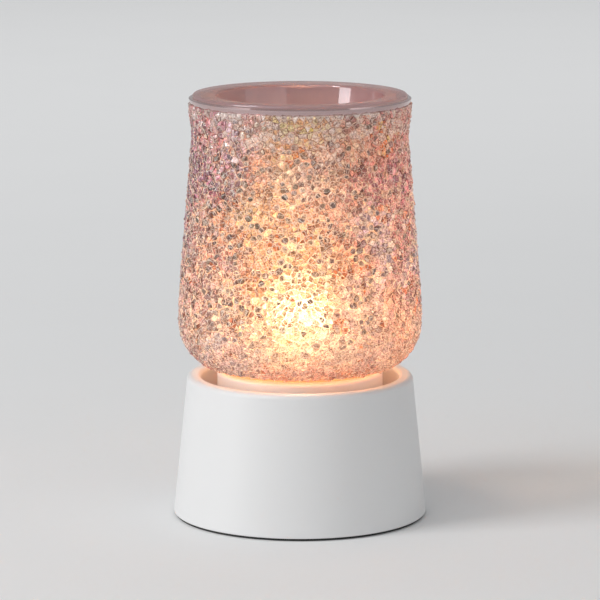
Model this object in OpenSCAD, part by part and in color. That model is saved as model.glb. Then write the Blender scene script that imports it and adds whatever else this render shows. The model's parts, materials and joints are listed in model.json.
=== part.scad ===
// Table-top wax warmer: a glass warmer unit that plugs down into a round white base.
// Millimetres, +Z up. The origin is the centre of the foot on the table, the front faces -Y
// and the cord inlet is at the rear, +Y.

/* [Base] */
// Radius of the base at its foot
foot_r = 49; // [48:0.5:52]
// Radius of the base at its rim, before the edge is rounded
rim_r = 43.7; // [43.4:0.1:45]
// Height of the rim above the table
base_h = 54.8; // [54:0.2:55.6]
// Radius of the well's mouth
well_r = 38.3; // [38:0.1:39.2]
// Height of the well's floor above the table
well_z = 28; // [28:0.2:28.6]
// Thickness of the black foot ring
foot_t = 0.7; // [0.6:0.1:1.2]

/* [Collar] */
// Radius of the lamp collar
collar_r = 32; // [31.5:0.1:33]
// Height of the collar's top face above the table
collar_top = 56.5; // [56:0.1:56.6]
// Thickness of the collar's wall
collar_wall = 2.2; // [1.8:0.1:2.4]

/* [Shade] */
// Greatest radius of the glass shade
belly_r = 46.9; // [46.5:0.1:48]
// Height of the shade's greatest radius above its underside
belly_up = 19; // [18:0.5:22]
// Radius of the waist below the lip
waist_r = 41.4; // [41.2:0.1:42]
// Radius of the shoulder under the lip
shoulder_r = 42.6; // [42.4:0.1:43]
// Height of the shade from its underside to its top edge
shade_h = 105.6; // [98:0.2:112]
// Thickness of the glass
glass_t = 3; // [2.4:0.1:3.2]

/* [Dish] */
// Radius of the dish's mouth
mouth_r = 32.2; // [31:0.1:33]
// Depth of the dish below its lip
dish_depth = 18.8; // [16:0.2:22]
// Thickness of the dish's wall
dish_t = 2.6; // [2.2:0.1:3]

/* [Cord inlet] */
// Radius of the hole in the grommet
inlet_r = 3.2; // [2.8:0.1:3.4]
// Height of the inlet's centre above the table
inlet_z = 11; // [11:0.2:12]

/* [Hidden] */

$fn = 96;
eps = 0.01;
fit = 0.05;                     // gap between pieces that are seated in each other

// base
rim_round = 2.1;                // outer edge of the rim
well_round = 1.6;               // inner edge of the rim
well_draft = 0.7;               // how much narrower the well is at its floor
well_fillet = 3;
floor_t = 3.5;                  // well floor
skirt_t = 3.2;                  // skirt below the well floor
floor_under = well_z - floor_t;
plate_t = 2;
plate_top = foot_t + plate_t;
plate_r = foot_r - skirt_t - 0.6;
boss_at = 36;                   // radius of the ring of base screws
boss_r = 3.6;
boss_turns = [30, 150, 270];

// cord inlet, a rubber grommet in a spot-faced hole
neck_r = 5;
flange_r = 6.5;
gland_in = 45;                  // inner and outer spot faces, measured along Y
gland_out = 47.2;
gland_lip = 1.5;

// receptacle
face_r = 13;
flange_t = 3;
socket_flange_r = 21;
socket_r = 14;
back_t = 1.5;
socket_bottom = 9;
socket_screw_at = 17.5;
pin_gap = 6.35;                 // from the middle to each blade
blade_t = 1.5;
live_w = 6.35;
neutral_w = 7.9;
blade_end = well_z - 17;        // lowest point of the blades
leaf_t = 0.4;                   // contact spring
leaf_gap = blade_t / 2 + 0.1;
tail_end = 5;
tail_w = 4;
lead_r = 0.9;
lead_sides = 8;
lead_z = 6.2;                   // leads run below the receptacle at this height

// terminal block
block_x = -20;
block_y = 26.5;
block = [16, 9, 10];
pole_gap = 4;                   // from the block's middle to each pole
pole_z = floor_under - 6;
sleeve_r = 2.2;
sleeve_hole = 1.5;

// warmer unit
unit_z = well_z + fit;          // underside of the unit, standing on the well floor
insert_top = unit_z + 3;
insert_r = collar_r - collar_wall - 0.2;
collar_lid = 2.5;
collar_boss_at = 25.4;
collar_boss_turns = [90, 210, 330];
neck_out = 21;                  // threaded neck that the shade is clamped on
neck_in = 16;
neck_top = collar_top + 7;
gasket_t = 0.5;
shade_z = collar_top + gasket_t;
washer_t = 0.8;
lug_t = 0.8;
lug_at = 10.8;                  // where the leads are soldered to the blades

// lamp holder, E12 size
holder_z = insert_top + 6;
holder_r = 9;
holder_top = holder_z + 20;
holder_floor = holder_z + 6;    // inside the holder, under the screw shell
ear_at = 14;                    // ears that the holder is screwed down by
ear_t = 2.5;
thread_r = 5.7;                 // mean radius of the lamp cap's thread
thread_wave = 0.25;
thread_pitch = 2.54;
shell_t = 0.4;

// lamp
tip_z = holder_floor + 1;
cap_z = tip_z + 2.4;
thread_turns = 4;
thread_steps = 8;               // points along each turn of the thread
cap_thread_top = cap_z + thread_turns * thread_pitch;
cap_top = cap_thread_top + 2.6;
lamp_top = tip_z + 52;
filament_z = tip_z + 32.5;

// shade and dish
shade_top = shade_z + shade_h;
belly_z = shade_z + belly_up;
shade_hole = neck_out + 1;
shade_flat = 28;                // radius where the flat underside turns up
shade_round = 1.5;              // outer edge of the shade's top
shade_mouth = shoulder_r - 4.4;
lip_z = shade_top + fit;        // underside of the dish's flange
lip_r = shoulder_r - 1.5;
lip_round = 0.8;
lip_under = 0.3;                // lower edge of the flange
dish_top = lip_z + 1.25;
dish_floor = dish_top - dish_depth;
dish_fillet = 7;
bowl_taper = 1.6;               // how much narrower the bowl is at its floor

// Points along an arc about [cx, cz], from angle a to angle b.
function arc(cx, cz, r, a, b, n = 8) =
    [for (i = [0 : n]) [cx + r * cos(a + (b - a) * i / n), cz + r * sin(a + (b - a) * i / n)]];

// Points of a quarter ellipse that rises from a flat bottom to its widest radius.
function quarter(flat, z, across, up, n = 16) =
    [for (i = [0 : n]) [flat + across * sin(90 * i / n), z + up * (1 - cos(90 * i / n))]];

// One point of a Catmull-Rom curve between b and c.
function between(a, b, c, d, t) =
    0.5 * (2 * b + (c - a) * t + (2 * a - 5 * b + 4 * c - d) * t * t
    + (3 * b - a - 3 * c + d) * t * t * t);

// A smooth curve through the points.
function smooth(p, n = 8) = concat(
    [for (i = [0 : len(p) - 2], k = [0 : n - 1])
        between(p[max(i - 1, 0)], p[i], p[i + 1], p[min(i + 2, len(p) - 1)], k / n)],
    [p[len(p) - 1]]);

// The list in the opposite order.
function reversed(p) = [for (i = [len(p) - 1 : -1 : 0]) p[i]];

function unit(v) = v / norm(v);

// Direction of a path at its point i.
function tangent(p, i) = unit(p[min(i + 1, len(p) - 1)] - p[max(i - 1, 0)]);

// A normal at each point of a path, carried along without twist.
function normals(p, i = 0, n = [0, 0, 0]) = i == len(p) ? [] :
    let (t = tangent(p, i), m = unit(i == 0 ? cross(t, [0.3, 0.5, 0.8]) : n - (n * t) * t))
    concat([m], normals(p, i + 1, m));

// Radius of the base's outer cone at height z.
function cone(z) = foot_r + (rim_r - foot_r) * (z - foot_t) / (base_h - foot_t);

// Profile of the shade's wall, set in from its outer surface.
function shade_wall(inset) = concat(
    quarter(shade_flat, shade_z + inset, belly_r - inset - shade_flat, belly_up - inset),
    smooth([
        [belly_r - inset, belly_z],
        [belly_r - 0.65 - inset, belly_z + 14],
        [(belly_r + waist_r) / 2 + 0.4 - inset, belly_z + 34],
        [waist_r + 0.8 - inset, shade_top - 24],
        [waist_r - inset, shade_top - 14.5],
        [(waist_r + shoulder_r) / 2 + 0.2 - inset, shade_top - 7.5],
        [shoulder_r - inset, shade_top - 3.6],
        [shoulder_r - 0.2 - inset, shade_top - shade_round]
    ]));

// Annular waves that stand in for the lamp's screw thread.
function thread(inset) = [for (i = [0 : thread_turns * thread_steps])
    [thread_r + inset + thread_wave * cos(360 * i / thread_steps),
     cap_z + thread_pitch * i / thread_steps]];

// Profile of the lamp's glass, set in from its outer surface.
function lamp_wall(inset) = smooth([
    [5.5 - inset, cap_top - 1.5],
    [5.7 - inset, cap_top + 1],
    [8.4 - inset, cap_top + 8],
    [11 - inset, cap_top + 18],
    [11.3 - inset, cap_top + 24],
    [9.2 - inset, cap_top + 31],
    [4.6 - inset, lamp_top - 1.2 - inset],
    [0, lamp_top - inset]
], 6);

module ring(r_out, r_in, z0, z1) {
    translate([0, 0, z0])
        difference() {
            cylinder(h = z1 - z0, r = r_out);
            translate([0, 0, -1]) cylinder(h = z1 - z0 + 2, r = r_in);
        }
}

module disc(r, z0, z1) {
    translate([0, 0, z0]) cylinder(h = z1 - z0, r = r);
}

// A box centred on x and y.
module bar(x, y, size_x, size_y, z0, z1) {
    translate([x - size_x / 2, y - size_y / 2, z0]) cube([size_x, size_y, z1 - z0]);
}

// Puts the children on a ring, one at each angle.
module around(turns, r) {
    for (a = turns) rotate([0, 0, a]) translate([r, 0, 0]) children();
}

module cross_recess(r, depth) {
    for (a = [0, 90])
        rotate([0, 0, a]) translate([-r, -r / 4, -eps]) cube([2 * r, r / 2, depth + eps]);
}

// A screw that points up, with a flat countersunk head at its foot.
module sunk_screw(z0, length, shank, head) {
    translate([0, 0, z0])
        difference() {
            union() {
                cylinder(h = head - shank, r1 = head, r2 = shank, $fn = 32);
                cylinder(h = length, r = shank, $fn = 32);
            }
            cross_recess(head * 0.6, 1);
        }
}

// A screw that points up, with a pan head at its foot.
module pan_screw(z0, length, shank, head, head_h) {
    translate([0, 0, z0])
        difference() {
            union() {
                rotate_extrude($fn = 32)
                    polygon(concat(
                        [[0, 0]],
                        arc(head - 0.6, 0.6, 0.6, -90, 0, 3),
                        [[head, head_h], [0, head_h]]));
                cylinder(h = head_h + length, r = shank, $fn = 32);
            }
            cross_recess(head * 0.6, 0.9);
        }
}

// A straight round wire from one point to another.
module wire(a, b, r) {
    d = b - a;
    translate(a)
        rotate([0, acos(d[2] / norm(d)), atan2(d[1], d[0])])
            cylinder(h = norm(d), r = r, $fn = 20);
}

// An insulated lead, swept through the points: straight at its ends, so that they lie flat on
// what they are soldered to, and a smooth curve in between.
module lead(points) {
    end_point = len(points) - 1;
    bend = [for (i = [1 : end_point - 1]) points[i]];
    path = concat([points[0]], smooth(bend, 3), [points[end_point]]);
    side = normals(path);
    last = len(path) - 1;
    skin = [for (i = [0 : last], k = [0 : lead_sides - 1])
        let (along = tangent(path, i), a = 360 * k / lead_sides)
        path[i] + lead_r * (cos(a) * side[i] + sin(a) * cross(along, side[i]))];
    walls = [for (i = [0 : last - 1], k = [0 : lead_sides - 1])
        let (a = i * lead_sides, b = a + lead_sides, next = (k + 1) % lead_sides)
        [a + k, b + k, b + next, a + next]];
    start = [for (k = [0 : lead_sides - 1]) k];
    end = [for (k = [lead_sides - 1 : -1 : 0]) last * lead_sides + k];
    polyhedron(points = skin, faces = concat(walls, [start, end]));
}

// ---- base ----

module base_shell() {
    well_bottom = well_r - well_draft;
    color("white")
    difference() {
        union() {
            rotate_extrude()
                polygon(concat(
                    arc(foot_r - 0.6, foot_t + 0.6, 0.6, -90, 0, 4),
                    arc(rim_r - rim_round + 0.1, base_h - rim_round, rim_round, 0, 90),
                    arc(well_r + well_round, base_h - well_round, well_round, 90, 180),
                    arc(well_bottom - well_fillet, well_z + well_fillet, well_fillet, 0, -90),
                    [[face_r + fit, well_z], [face_r + fit, floor_under],
                     [cone(floor_under) - skirt_t, floor_under],
                     [cone(foot_t) - skirt_t, foot_t]]));
            around(boss_turns, boss_at) disc(boss_r, plate_top, floor_under + 1, $fn = 48);
        }
        around(boss_turns, boss_at) disc(1.2, plate_top - 1, plate_top + 13, $fn = 32);
        around([90, 270], socket_screw_at) disc(1.2, floor_under - 1, well_z - 1, $fn = 32);
        translate([block_x, block_y, 0]) disc(1.2, floor_under - 1, well_z - 1, $fn = 32);
        translate([0, 0, inlet_z])
            rotate([-90, 0, 0]) {
                disc(neck_r, gland_in - 6, foot_r + 1);
                disc(flange_r + 0.2, gland_out, foot_r + 1);
                disc(flange_r + 0.2, gland_in - 6, gland_in);
            }
    }
}

module foot_ring() {
    color("black") ring(foot_r - 0.8, foot_r - skirt_t - 3, 0, foot_t);
}

module base_plate() {
    color("gainsboro")
    difference() {
        disc(plate_r, foot_t, plate_top);
        around(boss_turns, boss_at) {
            disc(1.5, foot_t - 1, plate_top + 1, $fn = 32);
            translate([0, 0, foot_t - eps]) cylinder(h = 1.8, r1 = 3.2, r2 = 1.4, $fn = 32);
        }
        ring(30, 28.5, foot_t - eps, foot_t + 0.4);
        ring(16, 14.5, foot_t - eps, foot_t + 0.4);
    }
}

module base_screws() {
    color("silver") around(boss_turns, boss_at) sunk_screw(foot_t + 0.1, 13, 1.15, 2.8);
}

module cord_gland() {
    color("black")
    translate([0, 0, inlet_z])
        rotate([-90, 0, 0])
            difference() {
                union() {
                    disc(neck_r - fit, gland_in - gland_lip, gland_out + gland_lip);
                    disc(flange_r, gland_out, gland_out + gland_lip);
                    disc(flange_r - 0.3, gland_in - gland_lip, gland_in);
                }
                disc(inlet_r, gland_in - gland_lip - 1, gland_out + gland_lip + 1);
            }
}

// ---- receptacle under the well floor ----

module blade_slots(extra_t, extra_w, z0, z1) {
    bar(pin_gap, 0, blade_t + extra_t, live_w + extra_w, z0, z1);
    bar(-pin_gap, 0, blade_t + extra_t, neutral_w + extra_w, z0, z1);
}

module receptacle_body() {
    pocket_top = floor_under - flange_t;
    color("dimgray")
    difference() {
        union() {
            disc(face_r, floor_under, well_z);
            disc(socket_flange_r, pocket_top, floor_under);
            disc(socket_r, socket_bottom, pocket_top);
        }
        blade_slots(0.6, 0.6, pocket_top - 1, well_z + 1);
        blade_slots(1.4, 0.8, socket_bottom - 1, pocket_top);
        disc(1.2, socket_bottom - 1, socket_bottom + 8, $fn = 32);
        around([90, 270], socket_screw_at) disc(1.5, pocket_top - 1, floor_under + 1, $fn = 32);
    }
}

module receptacle_back() {
    color("dimgray")
    difference() {
        disc(socket_r, socket_bottom - back_t, socket_bottom - fit);
        for (side = [-1, 1])
            bar(side * pin_gap, 0, 1.2, 4.4, socket_bottom - back_t - 1, socket_bottom + 1);
        disc(1.4, socket_bottom - back_t - 1, socket_bottom + 1, $fn = 32);
    }
}

module receptacle_screws() {
    color("silver")
    around([90, 270], socket_screw_at)
        pan_screw(floor_under - flange_t - 1.6, 5.2, 1.15, 2.6, 1.6);
}

module back_cover_screw() {
    color("silver") pan_screw(socket_bottom - back_t - 1.6, 8, 1.15, 2.6, 1.6);
}

// A folded brass contact that a blade slides into, with a solder tail below.
module contact(x, w) {
    color("goldenrod") {
        for (side = [-1, 1])
            bar(x + side * (leaf_gap + leaf_t / 2), 0, leaf_t, w + 0.2, socket_bottom, 20.5);
        bar(x, 0, 2 * (leaf_gap + leaf_t), w + 0.2, socket_bottom, socket_bottom + leaf_t);
        bar(x, 0, 0.8, tail_w, tail_end, socket_bottom + eps);
    }
}

module live_contact() {
    contact(pin_gap, live_w);
}

module neutral_contact() {
    contact(-pin_gap, neutral_w);
}

// ---- terminal block, where the cord's wires end ----

module at_poles() {
    for (side = [-1, 1]) translate([block_x + side * pole_gap, block_y, pole_z]) children();
}

module terminal_block() {
    color("ivory")
    difference() {
        bar(block_x, block_y, block[0], block[1], floor_under - block[2], floor_under);
        at_poles() {
            rotate([90, 0, 0]) translate([0, 0, -block[1]])
                cylinder(h = 2 * block[1], r = sleeve_r, $fn = 32);
            translate([0, 0, -block[2]]) cylinder(h = block[2], r = 1.6, $fn = 32);
        }
        translate([block_x, block_y, 0])
            disc(1.3, floor_under - block[2] - 1, floor_under + 1, $fn = 32);
    }
}

module terminal_sleeves() {
    color("goldenrod")
    at_poles()
        difference() {
            rotate([90, 0, 0])
                difference() {
                    translate([0, 0, -4.2])
                        cylinder(h = 8.4, r = sleeve_r - fit, $fn = 32);
                    translate([0, 0, -5]) cylinder(h = 10, r = sleeve_hole, $fn = 32);
                }
            translate([0, 0, -3]) cylinder(h = 3, r = 1.3, $fn = 32);
        }
}

module terminal_screws() {
    color("silver")
    at_poles()
        translate([0, 0, -4])
            difference() {
                cylinder(h = 3.1, r = 1.2, $fn = 32);
                translate([-2, -0.25, -eps]) cube([4, 0.5, 0.7]);
            }
}

module block_screw() {
    color("silver")
    translate([block_x, block_y, 0])
        pan_screw(floor_under - block[2] - 1.6, 12, 1.15, 2.4, 1.6);
}

module base_lead_live() {
    x = block_x + pole_gap;
    color("brown")
    lead([[pin_gap, tail_w / 2, lead_z], [pin_gap, 4, lead_z], [pin_gap, 12, lead_z],
        [-6, 20.5, 8], [x, 18.5, 13], [x, 20, pole_z], [x, block_y - 2, pole_z]]);
}

module base_lead_neutral() {
    x = block_x - pole_gap;
    color("steelblue")
    lead([[-pin_gap, tail_w / 2, lead_z], [-pin_gap, 4, lead_z], [-12, 12, lead_z],
        [-23, 16, 8], [x, 17, 14], [x, 20, pole_z], [x, block_y - 2, pole_z]]);
}

// ---- warmer unit ----

module lamp_collar() {
    wall_in = collar_r - collar_wall;
    lid = collar_top - collar_lid;
    color("white")
    difference() {
        union() {
            rotate_extrude()
                polygon(concat(
                    arc(collar_r - 0.4, unit_z + 0.4, 0.4, -90, 0, 3),
                    arc(collar_r - 1.2, collar_top - 1.2, 1.2, 0, 90, 5),
                    [[neck_out, collar_top], [neck_out, neck_top], [neck_in, neck_top],
                     [neck_in, lid], [wall_in, lid], [wall_in, unit_z]]));
            around(collar_boss_turns, collar_boss_at)
                disc(3.2, insert_top, lid + 1, $fn = 48);
        }
        around(collar_boss_turns, collar_boss_at)
            disc(1.2, insert_top - 1, insert_top + 12, $fn = 32);
    }
}

module plug_insert() {
    color("whitesmoke")
    difference() {
        union() {
            disc(insert_r, unit_z, insert_top - fit);
            around([90, 270], ear_at) disc(3.4, unit_z + 1, holder_z, $fn = 48);
        }
        blade_slots(0.1, 0.1, unit_z - 1, insert_top + 1);
        around([90, 270], ear_at) disc(1.2, unit_z + 1.5, holder_z + 1, $fn = 32);
        around(collar_boss_turns, collar_boss_at) {
            disc(1.5, unit_z - 1, insert_top + 1, $fn = 32);
            translate([0, 0, unit_z - eps]) cylinder(h = 1.8, r1 = 3.2, r2 = 1.4, $fn = 32);
        }
    }
}

module insert_screws() {
    color("silver")
    around(collar_boss_turns, collar_boss_at) sunk_screw(unit_z + 0.1, 13, 1.15, 2.8);
}

// A plug blade with rounded tip corners and a solder lug folded out at its head.
module blade(side, w) {
    tip = 1.6;
    color("silver") {
        translate([side * pin_gap - blade_t / 2, 0, 0])
            rotate([90, 0, 90])
                linear_extrude(blade_t)
                    polygon(concat(
                        arc(w / 2 - tip, blade_end + tip, tip, -90, 0, 4),
                        [[w / 2, insert_top + lug_t], [-w / 2, insert_top + lug_t]],
                        arc(tip - w / 2, blade_end + tip, tip, 180, 270, 4)));
        bar(side * (pin_gap + lug_at + 1.4) / 2, 0, lug_at + 1.4 - pin_gap, 4,
            insert_top, insert_top + lug_t);
    }
}

module live_blade() {
    blade(1, live_w);
}

module neutral_blade() {
    blade(-1, neutral_w);
}

module lamp_holder() {
    color("ivory")
    difference() {
        union() {
            disc(holder_r, holder_z, holder_top);
            bar(0, 0, 8, 2 * ear_at, holder_z, holder_z + ear_t);
            around([90, 270], ear_at) disc(4, holder_z, holder_z + ear_t, $fn = 48);
        }
        disc(6.5, holder_z - 1, holder_floor - 2);
        disc(thread_r + thread_wave + shell_t + 0.2, holder_floor, holder_top + 1);
        disc(1.6, holder_z, holder_top, $fn = 32);
        around([90, 270], ear_at) disc(1.4, holder_z - 1, holder_z + 5, $fn = 32);
        bar(8, 0, 8, 3.4, holder_z - 1, holder_z + 3);
        bar(-8, 0, 8, 3.4, holder_floor, holder_floor + 1);
    }
}

module holder_screws() {
    color("silver")
    around([90, 270], ear_at)
        translate([0, 0, holder_z + ear_t]) mirror([0, 0, 1])
            translate([0, 0, -1.6]) pan_screw(0, 7, 1.15, 2.6, 1.6);
}

module screw_shell() {
    color("goldenrod") {
        rotate_extrude($fn = 64)
            polygon(concat(
                [[3.2, holder_floor], [thread_r + thread_wave + 0.1 + shell_t, holder_floor]],
                thread(0.1 + shell_t),
                reversed(thread(0.1)),
                [[thread_r + thread_wave + 0.1, holder_floor + shell_t],
                 [3.2, holder_floor + shell_t]]));
        bar(-8.6, 0, 6.4, 3, holder_floor, holder_floor + shell_t);
    }
}

module centre_contact() {
    strip_z = holder_z + 2;
    color("goldenrod") {
        disc(1.5, strip_z, tip_z - fit, $fn = 32);
        bar(6, 0, 12, 3, strip_z, strip_z + shell_t);
    }
}

// A lead that bows a little between a blade's lug and the holder above it.
module unit_lead(side, top) {
    base = insert_top + lug_t;
    x = side * lug_at;
    lead([[x, 0, base], [x, 0, base + 1.2], [x + side * 1.4, 1, (base + top) / 2],
        [x, 0, top - 1.2], [x, 0, top]]);
}

module unit_lead_live() {
    color("brown") unit_lead(1, holder_z + 2);
}

module unit_lead_neutral() {
    color("steelblue") unit_lead(-1, holder_floor);
}

module shade_gasket() {
    color("lightgray") ring(shade_flat - 0.6, neck_out + 0.3, collar_top, shade_z);
}

module glass_shade() {
    color("plum")
    rotate_extrude()
        polygon(concat(
            [[shade_hole, shade_z]],
            shade_wall(0),
            arc(shoulder_r - 0.2 - shade_round, shade_top - shade_round, shade_round, 10, 90),
            [[shade_mouth, shade_top], [shade_mouth, shade_top - shade_round]],
            reversed(shade_wall(glass_t)),
            [[shade_hole, shade_z + glass_t]]));
}

module ring_washer() {
    z = shade_z + glass_t;
    color("lightgray") ring(neck_out + 4.2, neck_out + 0.3, z, z + washer_t);
}

// The ring that is screwed down on the collar's neck to hold the shade.
module shade_ring() {
    z = shade_z + glass_t + washer_t;
    color("silver")
    difference() {
        ring(neck_out + 4.5, neck_out + fit, z, z + 2.5);
        for (a = [0 : 30 : 330])
            rotate([0, 0, a]) translate([neck_out + 4.9, 0, z + 0.8])
                cylinder(h = 3, r = 1.2, $fn = 24);
    }
}

// ---- lamp ----

module bulb_glass() {
    color("lightyellow")
    rotate_extrude($fn = 64)
        polygon(concat(lamp_wall(0), reversed(lamp_wall(0.7))));
}

module bulb_cap() {
    outer = 5.9;
    color("goldenrod")
    rotate_extrude($fn = 64)
        polygon(concat(
            [[3.4, cap_z - 0.4], [5.2, cap_z - 0.4]],
            thread(0),
            [[outer, cap_thread_top + 0.4], [outer, cap_top], [outer - 0.35, cap_top],
             [outer - 0.35, cap_thread_top + 0.4]],
            reversed(thread(-0.35)),
            [[5.2 - 0.35, cap_z], [3.4, cap_z]]));
}

module bulb_insulator() {
    color("dimgray")
    rotate_extrude($fn = 48)
        polygon([[1.6, tip_z + 0.7], [2.2, tip_z + 0.7], [4.6, cap_z - 0.4 - eps],
            [3.4 - fit, cap_z - 0.4 - eps], [3.4 - fit, cap_z + 1], [1.6, cap_z + 1]]);
}

module bulb_tip() {
    color("silver")
    rotate_extrude($fn = 48)
        polygon(concat(
            [[0, tip_z]],
            arc(1, tip_z + 0.6, 0.6, -90, 0, 4),
            [[1.6, tip_z + 0.69], [1.5, tip_z + 0.7], [1.5, cap_z + 1], [0, cap_z + 1]]));
}

module bulb_stem() {
    color("lightyellow")
    rotate_extrude($fn = 48)
        polygon(concat(
            [[0, cap_top - 1], [4.6, cap_top - 1], [4.6, cap_top - 0.2]],
            smooth([[3, cap_top + 1], [1.5, cap_top + 4], [1.3, cap_top + 8], [1.6, cap_top + 10],
                [0, cap_top + 11]], 4)));
}

module support_wires() {
    color("gray")
    for (side = [-1, 1])
        wire([side * 1.95, 0, cap_top + 6.5], [side * 5, 0, filament_z], 0.25);
}

module filament() {
    color("orange")
    translate([0, 0, filament_z + 0.25])
        rotate([90, 0, 0])
            rotate_extrude(angle = 180)
                translate([5, 0]) circle(r = 0.35, $fn = 16);
}

// ---- dish ----

module wax_dish() {
    locator_r = shade_mouth - 0.4;
    bowl_out = mouth_r + dish_t;
    inner_end = mouth_r - bowl_taper;
    outer_floor = dish_floor - dish_t;
    edge = 1;
    color("thistle")
    rotate_extrude()
        polygon(concat(
            [[0, outer_floor]],
            arc(inner_end + dish_t - dish_fillet - 1.5, outer_floor + dish_fillet + 1.5,
                dish_fillet + 1.5, -90, -2),
            [[bowl_out, lip_z - 2.4], [locator_r - 0.3, lip_z - 2.4], [locator_r, lip_z - 2.1],
             [locator_r, lip_z]],
            arc(lip_r - lip_under, lip_z + lip_under, lip_under, -90, 0, 4),
            arc(lip_r - lip_round, dish_top - lip_round, lip_round, 0, 90),
            smooth([[lip_r - lip_round - 0.2, dish_top], [36.2, dish_top - 0.3],
                [mouth_r + edge, dish_top - 0.35]], 4),
            arc(mouth_r + edge, dish_top - 0.4 - edge, edge, 90, 180, 5),
            arc(inner_end - dish_fillet, dish_floor + dish_fillet, dish_fillet, -2, -90),
            [[0, dish_floor]]));
}

base_shell();
foot_ring();
base_plate();
base_screws();
cord_gland();
receptacle_body();
receptacle_back();
receptacle_screws();
back_cover_screw();
live_contact();
neutral_contact();
terminal_block();
terminal_sleeves();
terminal_screws();
block_screw();
base_lead_live();
base_lead_neutral();
lamp_collar();
plug_insert();
insert_screws();
live_blade();
neutral_blade();
lamp_holder();
holder_screws();
screw_shell();
centre_contact();
unit_lead_live();
unit_lead_neutral();
shade_gasket();
glass_shade();
ring_washer();
shade_ring();
bulb_glass();
bulb_cap();
bulb_insulator();
bulb_tip();
bulb_stem();
support_wires();
filament();
wax_dish();
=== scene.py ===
"""Looks of a table-top wax warmer: a lit glass mosaic shade and dish on a round base. In metres."""
import json
import math
import random

import bpy
import numpy as np
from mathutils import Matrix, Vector
from mathutils.geometry import delaunay_2d_cdt
from mathutils.noise import noise as noise_at


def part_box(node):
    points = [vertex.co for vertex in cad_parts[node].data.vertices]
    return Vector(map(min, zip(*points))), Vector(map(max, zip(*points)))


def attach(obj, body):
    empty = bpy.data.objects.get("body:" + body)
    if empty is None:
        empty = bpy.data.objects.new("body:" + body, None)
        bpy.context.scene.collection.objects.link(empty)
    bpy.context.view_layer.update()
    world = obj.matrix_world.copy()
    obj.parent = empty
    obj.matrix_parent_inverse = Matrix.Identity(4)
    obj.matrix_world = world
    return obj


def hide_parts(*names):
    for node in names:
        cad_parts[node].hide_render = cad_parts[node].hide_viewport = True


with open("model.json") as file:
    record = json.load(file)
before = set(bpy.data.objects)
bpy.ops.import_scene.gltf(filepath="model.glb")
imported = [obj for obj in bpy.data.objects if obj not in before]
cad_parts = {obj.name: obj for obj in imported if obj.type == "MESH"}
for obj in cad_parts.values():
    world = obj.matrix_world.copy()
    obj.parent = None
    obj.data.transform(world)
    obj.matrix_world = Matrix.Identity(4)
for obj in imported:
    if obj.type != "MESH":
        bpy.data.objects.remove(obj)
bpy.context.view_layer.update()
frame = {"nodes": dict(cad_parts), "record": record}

MM = 0.001
TURN = 2 * math.pi
SEED = 7

# camera
CAMERA_AT = (0, -1.3883, 0.3309)
CAMERA_DOWN = math.radians(10.10)
CAMERA_LENS = 219.2
SENSOR = 36

# mosaic
CHIP = 1.6 * MM             # mean distance between small chips
CHIP_JITTER = 0.6           # how far a chip strays from its row, as a share of CHIP
DISC_APART = 4.5 * MM       # mean distance between the round chips
DISC_REACH = 2.0 * MM       # ground that a round chip keeps clear of small ones
DISC_R = 1.65 * MM          # mean radius of a round chip
DISC_CORNERS = 9
DISC_SHARE = 0.65           # share of the round chips that are dark and stay round
RELIEF = 0.7 * MM           # depth of the wall's surface below the chips' mean height
SEAM = 0.08 * MM            # how far each chip is drawn in from its cell
CHIP_TILT = 0.36            # greatest slope of a chip
CHIP_LIFT = 0.12 * MM       # greatest rise or fall of a whole chip
CHIP_LEAST = 0.18 * MM      # a cell with a corner nearer its middle than this gets no chip
DOME = 0.22                 # greatest rise of a chip's middle, as a share of its reach
BEVEL = 0.27 * MM           # width of the edge that slopes down round a chip
SMOOTH_TOP = 3.1 * MM       # bare glass above the mosaic, measured along the wall
SMOOTH_BOTTOM = 8.8 * MM    # and below it
BEAD = 0.5 * MM             # how far the bare glass above the mosaic swells
BANDS = 4                   # pieces that the mosaic is made in, from the bottom up

# colours of the chips
SATURATION = 1.3            # of the chips' bodies, over that of the colours below
TAN = (0.88, 0.66, 0.42)
PEACH = (0.90, 0.52, 0.34)
CREAM = (1.0, 0.95, 0.85)
AMBER = (0.86, 0.38, 0.15)
PINK = (0.72, 0.41, 0.42)
MAUVE = (0.46, 0.23, 0.32)
LAVENDER = (0.78, 0.68, 0.78)
OLIVE = (0.36, 0.33, 0.26)
SLATE = (0.22, 0.20, 0.20)
# painted glints: silver for chips near the top of the shade
SILVER_GLINT = (0.86, 0.82, 0.84)
UMBER = (0.12, 0.035, 0.03)
RUST = (0.55, 0.15, 0.06)


# ---- shapes ----

def wall_profile(node, outward):
    """Rings (radius, height) of a round node's outer or inner wall, from the bottom up."""
    mesh = frame["nodes"][node].data
    sign = 1 if outward else -1
    rings = {}
    for face in mesh.polygons:
        radial = Vector((face.center.x, face.center.y, 0)).normalized()
        if sign * face.normal.dot(radial) > 0.03:
            for i in face.vertices:
                at = mesh.vertices[i].co
                height = round(at.z, 6)
                rings[height] = max(rings.get(height, 0), math.hypot(at.x, at.y))
    return [(radius, height) for height, radius in sorted(rings.items())]


class Wall:
    """A round wall's surface, addressed by distance along its profile and height above it."""

    def __init__(self, profile):
        self.points = np.array(profile)
        steps = np.hypot(*np.diff(self.points, axis=0).T)
        self.along = np.concatenate([[0], np.cumsum(steps)])
        self.length = self.along[-1]
        slopes = np.gradient(self.points, self.along, axis=0)
        self.normals = np.stack([slopes[:, 1], -slopes[:, 0]], axis=1)
        self.normals /= np.linalg.norm(self.normals, axis=1)[:, None]

    def at(self, s, lift):
        """Radius and height of the points at distances s, raised by lift."""
        point = [np.interp(s, self.along, self.points[:, i]) for i in (0, 1)]
        normal = [np.interp(s, self.along, self.normals[:, i]) for i in (0, 1)]
        return point[0] + lift * normal[0], point[1] + lift * normal[1]


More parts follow.
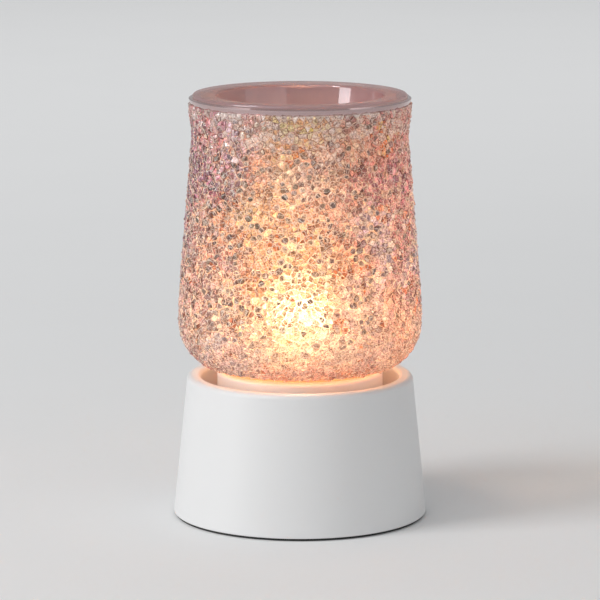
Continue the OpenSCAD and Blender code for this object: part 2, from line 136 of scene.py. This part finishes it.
def new_object(name, verts, faces, smooth_below):
    """A mesh object; edges flatter than smooth_below, in degrees, are shaded smooth."""
    mesh = bpy.data.meshes.new(name)
    mesh.from_pydata(verts, [], faces)
    mesh.validate()
    mesh.shade_smooth()
    mesh.set_sharp_from_angle(angle=math.radians(smooth_below))
    piece = bpy.data.objects.new(name, mesh)
    bpy.context.scene.collection.objects.link(piece)
    return piece


def lathe(name, outline, steps):
    """A closed outline of (radius, height) turned about Z. Points on the axis become one."""
    verts, rows = [], []
    for radius, height in outline:
        if radius < 1e-7:
            rows.append([len(verts)] * steps)
            verts.append((0, 0, height))
            continue
        rows.append(list(range(len(verts), len(verts) + steps)))
        verts += [(radius * math.cos(TURN * k / steps), radius * math.sin(TURN * k / steps), height)
                  for k in range(steps)]
    faces = []
    for low, high in zip(rows, rows[1:] + rows[:1]):
        for k in range(steps):
            n = (k + 1) % steps
            corners = [low[k], low[n], high[n], high[k]]
            face = [c for i, c in enumerate(corners) if c != corners[i - 1]]
            if len(set(face)) > 2:
                faces.append(face)
    return new_object(name, verts, faces, 35)


def jittered_rows(width, height, apart, rng):
    """Jittered rows of points on a strip that closes on itself across its width."""
    rows = round(height / (apart * 0.87))
    columns = round(width / apart)
    sites = []
    for j in range(rows):
        for i in range(columns):
            across = (i + 0.5 * (j % 2) + rng.uniform(-CHIP_JITTER, CHIP_JITTER)) * width / columns
            up = (j + 0.5 + rng.uniform(-CHIP_JITTER, CHIP_JITTER)) * height / rows
            if 0.02 * CHIP < up < height - 0.02 * CHIP:
                sites.append((across % width, up))
    return sites


def scattered_sites(width, height, rng):
    """The middles of the round chips and of the small ones between them."""
    discs = jittered_rows(width, height, DISC_APART, rng)
    small = np.array(jittered_rows(width, height, CHIP, rng))
    for middle in discs:
        small = small[np.hypot(*(small - middle).T) > DISC_REACH * rng.uniform(0.8, 1.1)]
    return discs, [tuple(site) for site in small]


def voronoi_cells(sites, width, height):
    """The Voronoi cells as {index of the site: corners in order round it}, without tiny sides."""
    margin = 6 * CHIP
    cloud = list(sites)
    cloud += [(x + width, y) for x, y in sites if x < margin]
    cloud += [(x - width, y) for x, y in sites if x > width - margin]
    cloud += [(x, -y) for x, y in cloud if y < margin]
    cloud += [(x, 2 * height - y) for x, y in cloud if height - margin < y <= height]
    scale = 1 / CHIP
    points = [Vector((x * scale, y * scale)) for x, y in cloud]
    verts, _, triangles, origins, _, _ = delaunay_2d_cdt(points, [], [], 0, 1e-6)
    where = np.array(verts)
    tri = np.array(triangles)
    a, b, c = where[tri[:, 0]], where[tri[:, 1]], where[tri[:, 2]]
    ab, ac = b - a, c - a
    double = 2 * (ab[:, 0] * ac[:, 1] - ab[:, 1] * ac[:, 0])
    ab2, ac2 = (ab ** 2).sum(1), (ac ** 2).sum(1)
    centres = a + np.stack([ac[:, 1] * ab2 - ab[:, 1] * ac2,
                            ab[:, 0] * ac2 - ac[:, 0] * ab2], axis=1) / double[:, None]
    corners = {}
    for t, centre in zip(triangles, centres):
        for v in t:
            for origin in origins[v]:
                if origin < len(sites):
                    corners.setdefault(origin, []).append(centre)
    cells = {}
    for i, (x, y) in enumerate(sites):
        site = np.array((x, y)) * scale
        ring = sorted(corners.get(i, []),
                      key=lambda p: math.atan2(p[1] - site[1], p[0] - site[0]))
        kept = [p for k, p in enumerate(ring) if np.hypot(*(p - ring[k - 1])) > 0.06]
        if len(kept) > 2:
            cells[i] = np.array(kept) / scale
    return cells


def rounded(cell, rng):
    """The cell cut back to a chip with a bent outline, more or less round."""
    centre = cell.mean(axis=0)
    edges = np.roll(cell, -1, axis=0) - cell
    outward = np.stack([edges[:, 1], -edges[:, 0]], axis=1)
    reach = ((cell - centre) * outward).sum(axis=1)
    size = DISC_R * rng.uniform(0.8, 1.1)
    corners = []
    for k in range(DISC_CORNERS):
        turn = TURN * k / DISC_CORNERS
        way = np.array((math.cos(turn), math.sin(turn)))
        facing = outward @ way
        edge = (reach[facing > 0] / facing[facing > 0]).min()
        corners.append(centre + way * min(edge, size * rng.uniform(0.82, 1.1)))
    return np.array(corners)


def clamp(value, low=0):
    return min(1, max(low, value))


def fade(value, start, span):
    """0 up to the start, rising to 1 over the span after it."""
    return clamp((value - start) / span)


def blend(a, b, share):
    return tuple(x + (y - x) * clamp(share) for x, y in zip(a, b))


def near_top(at):
    """1 in the upper part of the shade and 0 below it."""
    return fade(at.z, 0.140, 0.012)


def painted_light_column(at):
    """1 down the middle of the shade's front and back, falling to 0 at its sides: where painted
    lamp glow, painted shade and a painted highlight lie on the chips.
    """
    return math.exp(-((at.x / 0.014) ** 2))


def calmness(at):
    """How far chips may differ from each other: 1, but less at the foot of the shade."""
    return clamp((at.z - 0.055) / 0.03, 0.35)


def chip_hue(at, disc, rng):
    """A chip's colour and its share of glow.

    The colour drifts slowly over the shade: tan low down and down the middle of front and back,
    mauve towards the top and the left side, lavender on the right. That drift is partly noise, the
    glass's own colour, and partly painted light: painted reflection on the sides and towards the
    top, and painted lamp glow, cream at the lamp's height and tan down the middle near the top.
    Rust chips, and silver chips painted in as glints near the top, are scattered among them, and
    the round chips are dark.
    """
    drift = noise_at(at * 38) + 0.5 * noise_at(at * 110)
    patch = noise_at(at * 75 + Vector((9, 0, 0)))
    speck = noise_at(at * 110 + Vector((0, 5, 0)))
    high = near_top(at)
    # Share of mauve and lavender: partly noise, the glass's own colour, and partly painted
    # reflection by place, more towards the top and the sides, most on the left; painted lamp glow
    # takes it away down the middle of front and back near the top.
    cool_tint_and_sheen = (at.z - 0.128) / 0.07 + 0.9 * drift + (abs(at.x + 0.006) - 0.02) / 0.02
    cool_tint_and_sheen *= fade(at.z, 0.06, 0.03)
    cool_tint_and_sheen = clamp(0.5 + 0.6 * cool_tint_and_sheen + 6 * max(0, -0.012 - at.x) - 0.8 * high * painted_light_column(at))
    warm = blend(blend(TAN, PEACH, 0.5 + 1.2 * patch), AMBER, 1.6 * (patch - 0.28))
    # Mauve on the left and lavender on the right are painted reflection.
    mauve = blend(blend(PINK, MAUVE, 0.6 + 1.2 * patch - 0.4 * high - 6 * at.x),
                  LAVENDER, 3 * (drift - 0.1) + 8 * at.x)
    # Cream at the lamp's height is a painted glow of the lamp.
    painted_lamp_glow = math.exp(-((at.z - 0.077) / 0.014) ** 2)
    hue = blend(blend(warm, mauve, cool_tint_and_sheen), CREAM, 0.25 * painted_lamp_glow)
    if disc:
        return blend(OLIVE if rng.random() < 0.65 else SLATE, hue, 0.2), 0.25
    if speck > 0.40 and rng.random() < 0.6 * calmness(at):
        return blend(hue, RUST, 0.8), 0.6
    # Silver chips near the top are painted glints.
    if rng.random() < 0.3 * high:
        hue = blend(hue, SILVER_GLINT, 0.8)
    return hue, 0.8 - 0.42 * cool_tint_and_sheen + 0.3 * high


def chip_colours(at, disc, rng):
    """Colours, with the share of glow as their alpha, of a chip's body and of its edge. The body's
    lightness and glow carry painted light and shade.
    """
    hue, glow = chip_hue(at, disc, rng)
    high, painted_column = near_top(at), painted_light_column(at)
    # Painted light and shade: lighter on the right above the lamp, darker on the left except at the
    # very top, darker down the middle of front and back in the shade's middle.
    painted_light_and_shade = 0.28 * fade(at.x, 0.014, 0.015) * fade(at.z, 0.1, 0.02)
    painted_light_and_shade -= 0.4 * fade(-at.x, 0.010, 0.016) * clamp((0.158 - at.z) / 0.010)
    painted_light_and_shade -= 0.22 * painted_column * fade(at.z, 0.104, 0.012) * (1 - high)
    # Mean lightness: the painted light and shade, and a painted highlight towards the top,
    # strongest down the middle of front and back.
    mean = painted_light_and_shade - 0.17 + (0.42 + 0.4 * painted_column) * high
    light = math.exp(rng.gauss(mean, (0.5 + 0.1 * high) * calmness(at)))
    # The share of glow follows the painted light and shade as well.
    glow *= math.exp(0.8 * painted_light_and_shade)
    kind = rng.random()
    if kind < 0.6:
        edge, edge_glow = blend(hue, CREAM, rng.uniform(0.6, 1)), 1
    elif kind < 0.86:
        edge, edge_glow = blend(hue, UMBER, rng.uniform(0.6, 1) * calmness(at)), glow * 0.5
    else:
        edge, edge_glow = hue, glow
    grey = sum(hue) / 3
    body = tuple(clamp((grey + SATURATION * (c - grey)) * light) for c in hue)
    return body + (min(1, glow * light),), edge + (edge_glow,)


def mosaic(name, wall, cells, width, low, rng):
    """Chips of glass on a wall, one on each cell, each with its own colour and edge.

    Cells lie on the wall laid flat: width is its way round, and low is the distance along its
    profile at which the cells begin. The round chips fade out at the shade's foot and top.
    """
    verts, faces, colours = [], [], []
    for cell, disc in cells:
        centre = cell.mean(axis=0)
        radius, up = wall.at(low + centre[1], 0)
        turn = centre[0] * TURN / width
        middle = Vector((radius * math.cos(turn), radius * math.sin(turn), up))
        share = DISC_SHARE * min(1, (middle.z - 0.068) / 0.02, (0.16 - middle.z) / 0.012)
        dark = disc and rng.random() < share
        if dark:
            cell = rounded(cell, rng)
        spokes = cell - centre
        reach = np.hypot(spokes[:, 0], spokes[:, 1])
        if reach.min() < CHIP_LEAST:
            continue
        slope = np.array([rng.uniform(-CHIP_TILT, CHIP_TILT) for _ in range(2)])
        lift = rng.uniform(-CHIP_LIFT, CHIP_LIFT)
        foot = centre + spokes * (1 - SEAM / reach)[:, None]
        crown = centre + spokes * np.maximum(1 - (SEAM + BEVEL) / reach, 0.2)[:, None]
        top = lift + (crown - centre) @ slope
        shoulder = lift + (foot - centre) @ slope - BEVEL
        dome = lift + rng.uniform(0, DOME) * reach.mean()
        start, n = len(verts), len(cell)
        rings = ((foot, np.full(n, -RELIEF * 1.3)), (foot, shoulder), (crown, top),
                 (centre[None, :], np.array([dome])))
        for ring, height in rings:
            radius, up = wall.at(low + ring[:, 1], height)
            turn = ring[:, 0] * TURN / width
            verts += list(zip(radius * np.cos(turn), radius * np.sin(turn), up))
        body, edge = chip_colours(middle, dark, rng)
        faces.append([start + k for k in reversed(range(n))])
        colours += [body] * n
        for k in range(n):
            m = (k + 1) % n
            for row in (start, start + n):
                faces.append([row + k, row + m, row + n + m, row + n + k])
            faces.append([start + 2 * n + k, start + 2 * n + m, start + 3 * n])
            colours += [body] * 4 + [edge] * 4 + [body] * 3
    piece = new_object(name, verts, faces, 40)
    colour = piece.data.color_attributes.new("chip", "FLOAT_COLOR", "CORNER")
    colour.data.foreach_set("color", np.array(colours, dtype=np.float32).ravel())
    return piece


# ---- materials ----

def add(tree, kind, settings=None, **inputs):
    """A shader node. Its inputs are given as values or as other nodes' sockets."""
    made = tree.nodes.new("ShaderNode" + kind)
    for key, value in (settings or {}).items():
        setattr(made, key, value)
    for key, value in inputs.items():
        name = key.replace("_", " ")
        socket = made.inputs[int(key[1:])] if key[1:].isdigit() else made.inputs[name]
        if isinstance(value, bpy.types.NodeSocket):
            tree.links.new(value, socket)
        elif hasattr(socket.default_value, "__len__") and len(value) == 3:
            socket.default_value = (*value, 1) if socket.type == "RGBA" else value
        else:
            socket.default_value = value
    return made


def new_material(name):
    material = bpy.data.materials.new(name)
    material.use_nodes = True
    material.node_tree.nodes.clear()
    return material, material.node_tree


def finish_material(tree, surface):
    out = tree.nodes.new("ShaderNodeOutputMaterial")
    tree.links.new(surface, out.inputs["Surface"])


def ramp(tree, factor, stops):
    """A colour ramp through (position, colour) stops."""
    made = add(tree, "ValToRGB", i0=factor)
    points = made.color_ramp.elements
    while len(points) < len(stops):
        points.new(0.5)
    for point, (position, colour) in zip(points, stops):
        point.position = position
        point.color = (*colour, 1)
    return made.outputs["Color"]


def mix_colour(tree, factor, a, b, kind="MIX"):
    made = add(tree, "Mix", {"data_type": "RGBA", "blend_type": kind}, i0=factor, i6=a, i7=b)
    return made.outputs[2]


def mix_shaders(tree, share, a, b):
    return add(tree, "MixShader", i0=share, i1=a, i2=b).outputs[0]


def bumps(tree, height, strength, distance):
    """A surface direction that follows the height, at most the distance high."""
    return add(tree, "Bump", Strength=strength, Distance=distance, Height=height).outputs[0]


def value_map(tree, value, low, high, to_low, to_high):
    made = add(tree, "MapRange", i0=value, i1=low, i2=high, i3=to_low, i4=to_high)
    return made.outputs[0]


def noise(tree, scale, detail=3.0):
    place = add(tree, "TexCoord").outputs["Object"]
    return add(tree, "TexNoise", Vector=place, Scale=scale, Detail=detail, Roughness=0.55)


def height_of(tree):
    place = add(tree, "TexCoord").outputs["Object"]
    return add(tree, "SeparateXYZ", Vector=place).outputs["Z"]


def lets_light_through(tree, surface, tint):
    """The surface, but light on its way to something else passes it, tinted."""
    clear = add(tree, "BsdfTransparent", Color=tint).outputs[0]
    shadow = add(tree, "LightPath").outputs["Is Shadow Ray"]
    return mix_shaders(tree, shadow, surface, clear)


def moulded(name, colour, roughness=0.45, grain=900, bump=0.05, spread=0.03, coat=0.0):
    """Moulded plastic, rubber or ceramic: a fine grain and slightly uneven colour."""
    material, tree = new_material(name)
    fine = noise(tree, grain).outputs["Fac"]
    broad = noise(tree, grain / 30, 2).outputs["Fac"]
    darker = tuple(c * (1 - spread) for c in colour)
    lighter = tuple(min(1, c * (1 + spread)) for c in colour)
    tone = ramp(tree, broad, [(0.3, darker), (0.7, lighter)])
    relief = bumps(tree, fine, bump, 0.2 * MM)
    gloss = value_map(tree, fine, 0.3, 0.7, roughness - 0.05, roughness + 0.05)
    body = add(tree, "BsdfPrincipled", Base_Color=tone, Roughness=gloss, Normal=relief,
               Coat_Weight=coat)
    finish_material(tree, body.outputs[0])
    return material


def metal(name, colour, roughness=0.3):
    """Plated or brushed metal: fine scratches and uneven gloss."""
    material, tree = new_material(name)
    fine = noise(tree, 1500, 4).outputs["Fac"]
    broad = noise(tree, 60).outputs["Fac"]
    tone = ramp(tree, broad, [(0.25, tuple(c * 0.86 for c in colour)), (0.75, colour)])
    relief = bumps(tree, fine, 0.08, 0.1 * MM)
    gloss = value_map(tree, broad, 0.3, 0.7, roughness - 0.08, roughness + 0.1)
    body = add(tree, "BsdfPrincipled", Base_Color=tone, Metallic=1.0, Roughness=gloss,
               Normal=relief)
    finish_material(tree, body.outputs[0])
    return material


def wall_glass():
    """The shade's wall: half clear glass, amber at its foot, where it glows as painted lamp light,
    lustred at its top.
    """
    material, tree = new_material("shade_wall_glass")
    low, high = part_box("glass_shade")
    tint = ramp(tree, value_map(tree, height_of(tree), low[2], high[2], 0, 1),
                [(0.0, (1.0, 0.50, 0.20)), (0.05, (1.0, 0.62, 0.36)), (0.1, (1.0, 0.74, 0.52)),
                 (0.5, (1.0, 0.80, 0.62)), (0.85, (0.80, 0.60, 0.52)), (0.965, (0.54, 0.40, 0.39)),
                 (0.98, (0.56, 0.40, 0.40))])
    ripple = noise(tree, 260).outputs["Fac"]
    relief = bumps(tree, ripple, 0.5, 0.6 * MM)
    spread = add(tree, "BsdfTranslucent", Color=tint, Normal=relief).outputs[0]
    lustre = value_map(tree, height_of(tree), high[2] - 4 * MM, high[2] - 2.5 * MM, 0, 1)
    # Painted lamp light: the wall's lowest 5 mm glows on its own.
    painted_foot_glow = value_map(tree, height_of(tree), low[2], low[2] + 5 * MM, 0.9, 0)
    gloss = add(tree, "BsdfPrincipled", Base_Color=tint, Roughness=0.06, IOR=2.0,
                Metallic=value_map(tree, lustre, 0, 1, 0, 0.9),
                Coat_Weight=1.0, Coat_IOR=1.8, Coat_Roughness=0.03,
                Emission_Color=(1.0, 0.60, 0.30), Emission_Strength=painted_foot_glow).outputs[0]
    skin = mix_shaders(tree, value_map(tree, lustre, 0, 1, 0.4, 0.92), spread, gloss)
    clear = add(tree, "BsdfTransparent", Color=(1, 0.9, 0.8)).outputs[0]
    surface = mix_shaders(tree, value_map(tree, lustre, 0, 1, 0.5, 0.06), skin, clear)
    finish_material(tree, lets_light_through(tree, surface, (0.98, 0.94, 0.90)))
    return material


def crackle(tree, scale, width):
    """Lines between cells, 1 in the middle of each line and 0 beside it, a little crooked."""
    place = add(tree, "TexCoord").outputs["Object"]
    wander = noise(tree, scale * 1.3, 2).outputs["Color"]
    bent = add(tree, "Mix", {"data_type": "VECTOR"}, i0=0.7 / scale, i4=place, i5=wander)
    cells = add(tree, "TexVoronoi", {"feature": "DISTANCE_TO_EDGE"}, Vector=bent.outputs[1],
                Scale=scale)
    return value_map(tree, cells.outputs["Distance"], 0, width, 1, 0)


def chip_glass():
    """The mosaic's chips: streaky glass in each chip's own colour, crossed by fine lines.

    The lamp's light comes through a chip as far as its glow goes, partly spread and partly
    straight, and its back lets everything through, so that light is tinted only once.
    """
    material, tree = new_material("mosaic_chip_glass")
    own = add(tree, "Attribute", {"attribute_name": "chip"}).outputs
    fine = noise(tree, 1500).outputs["Fac"]
    streak = ramp(tree, fine, [(0.34, (0.40, 0.28, 0.27)), (0.5, (1, 1, 1)),
                               (0.66, (1.6, 1.55, 1.5))])
    tint = mix_colour(tree, 0.85, own["Color"], streak, "MULTIPLY")
    dark_lines = crackle(tree, 300, 0.05)
    tint = mix_colour(tree, value_map(tree, dark_lines, 0, 1, 0, 0.8), tint, UMBER)
    lines = crackle(tree, 420, 0.06)
    tint = mix_colour(tree, value_map(tree, lines, 0, 1, 0, 0.8), tint, CREAM)
    lit = mix_colour(tree, 0.2, tint, (1.0, 0.86, 0.66))
    rough = value_map(tree, fine, 0.3, 0.7, 0.05, 0.25)
    height = add(tree, "Math", {"operation": "ADD"}, i0=fine, i1=lines).outputs[0]
    relief = bumps(tree, height, 0.4, 0.2 * MM)
    lustre = value_map(tree, height_of(tree), 0.118, 0.148, 0, 0.4)
    pearl = add(tree, "BsdfPrincipled", Base_Color=tint, Roughness=rough, Normal=relief,
                Metallic=lustre, IOR=1.65, Specular_Tint=(0.98, 0.96, 1.0), Coat_Weight=0.3,
                Coat_Roughness=0.05).outputs[0]
    spread = add(tree, "BsdfTranslucent", Color=lit, Normal=relief).outputs[0]
    beam = add(tree, "BsdfRefraction", Color=mix_colour(tree, 0.4, lit, (1, 1, 1)),
               Roughness=0.26, IOR=1.2).outputs[0]
    glow = mix_shaders(tree, 0.5, spread, beam)
    share = value_map(tree, own["Alpha"], 0, 1, 0.05, 0.62)
    surface = mix_shaders(tree, share, pearl, glow)
    inside = add(tree, "NewGeometry").outputs["Backfacing"]
    clear = add(tree, "BsdfTransparent").outputs[0]
    surface = mix_shaders(tree, inside, surface, clear)
    finish_material(tree, lets_light_through(tree, surface, (0.95, 0.92, 0.88)))
    return material


def dish_glass(name):
    """The dish's smooth glass: grey mauve, violet on its edges and pink in the lamp's light."""
    material, tree = new_material(name)
    broad = noise(tree, 60, 2).outputs["Fac"]
    tone = ramp(tree, broad, [(0.3, (0.29, 0.22, 0.28)), (0.7, (0.38, 0.29, 0.32))])
    edge = add(tree, "LayerWeight", Blend=0.4).outputs["Facing"]
    tone = mix_colour(tree, value_map(tree, edge, 0.5, 1, 0, 0.5), tone, (0.20, 0.11, 0.24))
    body = add(tree, "BsdfPrincipled", Base_Color=tone, Roughness=0.04, IOR=2.2,
               Specular_Tint=(1.0, 0.93, 1.0), Coat_Weight=1.0, Coat_IOR=1.8,
               Coat_Roughness=0.02).outputs[0]
    spread = add(tree, "BsdfTranslucent", Color=(0.86, 0.71, 0.67)).outputs[0]
    skin = mix_shaders(tree, 0.34, body, spread)
    clear = add(tree, "BsdfTransparent", Color=(0.94, 0.84, 0.82)).outputs[0]
    surface = mix_shaders(tree, 0.42, skin, clear)
    finish_material(tree, lets_light_through(tree, surface, (0.96, 0.89, 0.84)))
    return material


def filament_height():
    low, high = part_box("filament")
    return (low[2] + high[2]) / 2


def lamp_glass(name, colour, strength):
    """Clear lamp glass that glows in the lamp's own light, most of all beside the filament."""
    material, tree = new_material(name)
    haze = noise(tree, 400, 2).outputs["Fac"]
    rough = value_map(tree, haze, 0.3, 0.7, 0.02, 0.08)
    off = add(tree, "Math", {"operation": "SUBTRACT"}, i0=height_of(tree),
              i1=filament_height()).outputs[0]
    off = add(tree, "Math", {"operation": "ABSOLUTE"}, i0=off).outputs[0]
    power = value_map(tree, off, 0, 8 * MM, strength, strength * 0.08)
    skin = add(tree, "BsdfPrincipled", Base_Color=(0.9, 0.85, 0.75), Roughness=rough,
               Emission_Color=colour, Emission_Strength=power).outputs[0]
    clear = add(tree, "BsdfTransparent").outputs[0]
    surface = mix_shaders(tree, 0.6, skin, clear)
    finish_material(tree, lets_light_through(tree, surface, (1, 1, 1)))
    return material


def glowing(name, colour, strength):
    material, tree = new_material(name)
    fine = noise(tree, 2000, 2).outputs["Fac"]
    power = value_map(tree, fine, 0.3, 0.7, strength * 0.8, strength * 1.2)
    body = add(tree, "BsdfPrincipled", Base_Color=colour, Roughness=0.4, Emission_Color=colour,
               Emission_Strength=power)
    finish_material(tree, body.outputs[0])
    return material


def rubber(name, colour):
    return moulded(name, colour, roughness=0.7, grain=1400, bump=0.12, spread=0.12)


def give(material, piece):
    piece.data.materials.clear()
    piece.data.materials.append(material)


# ---- stage ----

def make_camera():
    camera = bpy.data.objects.new("camera", bpy.data.cameras.new("camera"))
    camera.location = CAMERA_AT
    camera.rotation_euler = (math.pi / 2 - CAMERA_DOWN, 0, 0)
    camera.data.lens = CAMERA_LENS
    camera.data.sensor_width = SENSOR
    bpy.context.scene.collection.objects.link(camera)
    bpy.context.scene.camera = camera


def softbox(name, at, aim, size, power):
    light = bpy.data.lights.new(name, "AREA")
    light.shape = "RECTANGLE"
    light.size, light.size_y = size
    light.energy = power
    lamp = bpy.data.objects.new(name, light)
    lamp.location = at
    lamp.rotation_euler = (Vector(aim) - Vector(at)).to_track_quat("-Z", "Y").to_euler()
    bpy.context.scene.collection.objects.link(lamp)
    return lamp


def make_stage():
    top, under, reach = -0.2 * MM, -10 * MM, 7
    floor = lathe("floor", [(0, top), (0.3, top), (1.5, top), (reach, top),
                            (reach, under), (0, under)], 96)
    give(moulded("studio_floor", (0.82, 0.82, 0.82), 0.75, 300, 0.02, 0.004), floor)
    world = bpy.data.worlds.new("studio")
    world.use_nodes = True
    world.node_tree.nodes["Background"].inputs[0].default_value = (0.96, 0.98, 1.0, 1)
    world.node_tree.nodes["Background"].inputs[1].default_value = 0.39
    bpy.context.scene.world = world
    aim = (0, 0, 0.1)
    softbox("key", (-1.29, -0.57, 1.78), aim, (0.65, 0.65), 12.9)
    softbox("window", (-1.38, -0.60, 0.45), aim, (0.50, 0.80), 6.5)
    softbox("front", (-0.95, -1.1, 1.25), aim, (1.1, 0.9), 4.6)
    softbox("fill", (1.5, -1.2, 0.4), aim, (2.4, 1.0), 4.6)
    far = softbox("far", (0, 1.75, 1.6), (0, 1.75, 0), (3.0, 2.2), 8)
    far.data.spread = math.radians(95)
    bpy.context.scene.view_settings.view_transform = "Standard"


def light_lamp():
    """The lit filament and the glow above the lamp, as two small warm lights."""
    for rise, reach, power in ((0, 5 * MM, 0.033), (42 * MM, 16 * MM, 0.026)):
        glow = bpy.data.lights.new("lamp_light", "POINT")
        glow.energy = power
        glow.color = (1.0, 0.885, 0.76)
        glow.shadow_soft_size = reach
        lamp = bpy.data.objects.new("lamp_light", glow)
        lamp.location = (0, 0, filament_height() + rise)
        bpy.context.scene.collection.objects.link(lamp)


# ---- the warmer ----

def build_shade():
    """The shade's wall and its mosaic, in place of the frame's plain shade."""
    outer = wall_profile("glass_shade", True)
    low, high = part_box("glass_shade")
    inner = [p for p in wall_profile("glass_shade", False) if p[1] > low[2] + 2 * MM]
    hole = min(radius for radius, _ in wall_profile("glass_shade", False))
    wall = Wall(outer)
    along = np.linspace(0, wall.length, 160)
    bare = np.minimum(along / SMOOTH_BOTTOM, (wall.length - along) / SMOOTH_TOP)
    bead = np.clip((along - wall.length + SMOOTH_TOP) / SMOOTH_TOP, 0, 1)
    radius, up = wall.at(along, BEAD * np.sin(np.pi * bead) - RELIEF * np.clip(2 * bare - 1, 0, 1))
    outline = [(hole, low[2])] + list(zip(radius, up)) + inner[::-1] + [(hole, inner[0][1])]
    body = lathe("shade_wall", outline, 256)
    give(wall_glass(), body)
    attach(body, "unit")
    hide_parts("glass_shade")

    rng = random.Random(SEED)
    width = TURN * wall.points[:, 0].mean()
    start = SMOOTH_BOTTOM
    height = wall.length - SMOOTH_TOP - start
    discs, small = scattered_sites(width, height, rng)
    cells = voronoi_cells(discs + small, width, height)
    glass = chip_glass()
    for i in range(BANDS):
        span = (i * height / BANDS, (i + 1) * height / BANDS)
        own = [(cell, k < len(discs)) for k, cell in cells.items()
               if span[0] <= cell[:, 1].mean() < span[1]]
        chips = mosaic(f"mosaic_chips_{i + 1}", wall, own, width, start, rng)
        give(glass, chips)
        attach(chips, "unit")
        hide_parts("glass_shade")


# What each material slot is made of: a function, and its arguments after the name.
FINISHES = {
    "base_white": (moulded, (0.765, 0.765, 0.765), 0.42, 1100, 0.03, 0.006),
    "collar_white": (moulded, (0.88, 0.87, 0.86), 0.4, 1100, 0.03, 0.01),
    "foot_rubber": (rubber, (0.02, 0.02, 0.02)),
    "plate_plastic": (moulded, (0.72, 0.72, 0.71), 0.6, 900, 0.15),
    "screw_steel": (metal, (0.62, 0.62, 0.63)),
    "grommet_rubber": (rubber, (0.03, 0.03, 0.03)),
    "socket_plastic": (moulded, (0.10, 0.10, 0.11), 0.5, 900, 0.1),
    "contact_brass": (metal, (0.78, 0.56, 0.24)),
    "terminal_plastic": (moulded, (0.80, 0.76, 0.64), 0.35),
    "lead_brown": (moulded, (0.20, 0.09, 0.04), 0.4),
    "lead_blue": (moulded, (0.06, 0.16, 0.40), 0.4),
    "insert_plastic": (moulded, (0.80, 0.80, 0.79), 0.5),
    "blade_nickel": (metal, (0.70, 0.68, 0.63), 0.22),
    "holder_ceramic": (moulded, (0.80, 0.76, 0.68), 0.6, 600, 0.2),
    "gasket_silicone": (rubber, (0.74, 0.72, 0.70)),
    "ring_aluminium": (metal, (0.80, 0.80, 0.80), 0.3),
    "lamp_glass": (lamp_glass, (1.0, 0.80, 0.55), 27.0),
    "cap_brass": (metal, (0.80, 0.60, 0.28), 0.25),
    "lamp_insulator": (moulded, (0.02, 0.02, 0.02), 0.2, 900, 0.05, 0.03, 0.4),
    "solder": (metal, (0.60, 0.60, 0.60), 0.45),
    "wire_nickel": (metal, (0.55, 0.53, 0.50), 0.35),
    "filament_metal": (glowing, (1.0, 0.72, 0.38), 60.0),
    "dish_glass": (dish_glass,),
}


def finish_other_nodes():
    """Gives every node but the shade the finish that its material slot names."""
    finishes = {slot: make(slot, *settings) for slot, (make, *settings) in FINISHES.items()}
    for part in frame["record"]["subparts"]:
        if part["node"] != "glass_shade":
            give(finishes[part["material_slot"]], frame["nodes"][part["node"]])


make_camera()
make_stage()
light_lamp()
build_shade()
finish_other_nodes()
